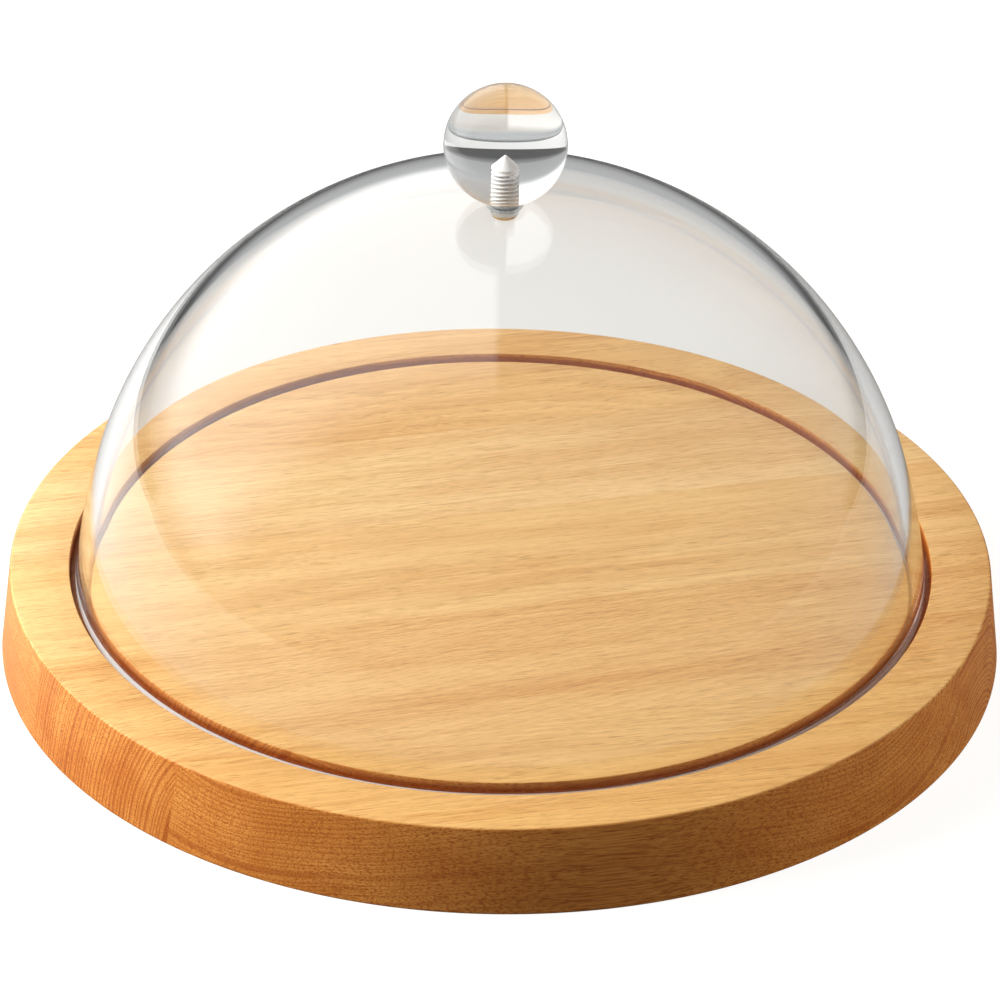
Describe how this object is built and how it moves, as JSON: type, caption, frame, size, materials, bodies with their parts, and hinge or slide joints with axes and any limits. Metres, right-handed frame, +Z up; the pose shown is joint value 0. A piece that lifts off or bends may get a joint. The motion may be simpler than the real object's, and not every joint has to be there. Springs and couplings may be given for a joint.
{
  "type": "cheese dome",
  "caption": "Round oiled-oak serving board with a turned groove, and a clear dome with a ball knob that stands in the groove and lifts off.",
  "frame": {"origin": "centre of the board's underside, on the dome's axis", "axes": "+Z up along the axis of the board, dome and knob; +X to the viewer's right; -Y to the viewer"},
  "size_m": [0.2902, 0.2902, 0.1798],
  "materials": {
    "oak_front": "oiled",
    "oak_front_middle": "oiled",
    "oak_centre": "oiled",
    "oak_rear_middle": "oiled",
    "oak_rear": "oiled",
    "clear_acrylic_shell": "clear polished",
    "clear_acrylic_ball": "clear polished",
    "clear_soft_washer": "clear soft",
    "stainless_steel": "bright machined"
  },
  "bodies": {
    "board": {"stave_front": "oak_front", "stave_front_middle": "oak_front_middle", "stave_centre": "oak_centre", "stave_rear_middle": "oak_rear_middle", "stave_rear": "oak_rear"},
    "dome": {"dome_shell": "clear_acrylic_shell", "seat_washer": "clear_soft_washer", "screw_washer": "clear_soft_washer"},
    "screw": {"knob_screw": "stainless_steel"},
    "knob": {"ball_knob": "clear_acrylic_ball"}
  },
  "joints": [
    {"name": "lift_dome", "type": "slide", "parent": "board", "child": "dome", "axis": [0, 0, 1], "range_m": [0, 0.2]},
    {"name": "turn_screw", "type": "hinge", "parent": "dome", "child": "screw", "pos_m": [0, 0, 0.14], "axis": [0, 0, 1], "range_deg": [-4685, 0]},
    {"name": "run_ball_off_thread", "type": "slide", "parent": "dome", "child": "knob", "axis": [0, 0, 1], "range_m": [0, 0.0104]}
  ],
  "couplings": [
    {"joint": "turn_screw", "follows": "run_ball_off_thread", "rad_per_m": -7854}
  ]
}
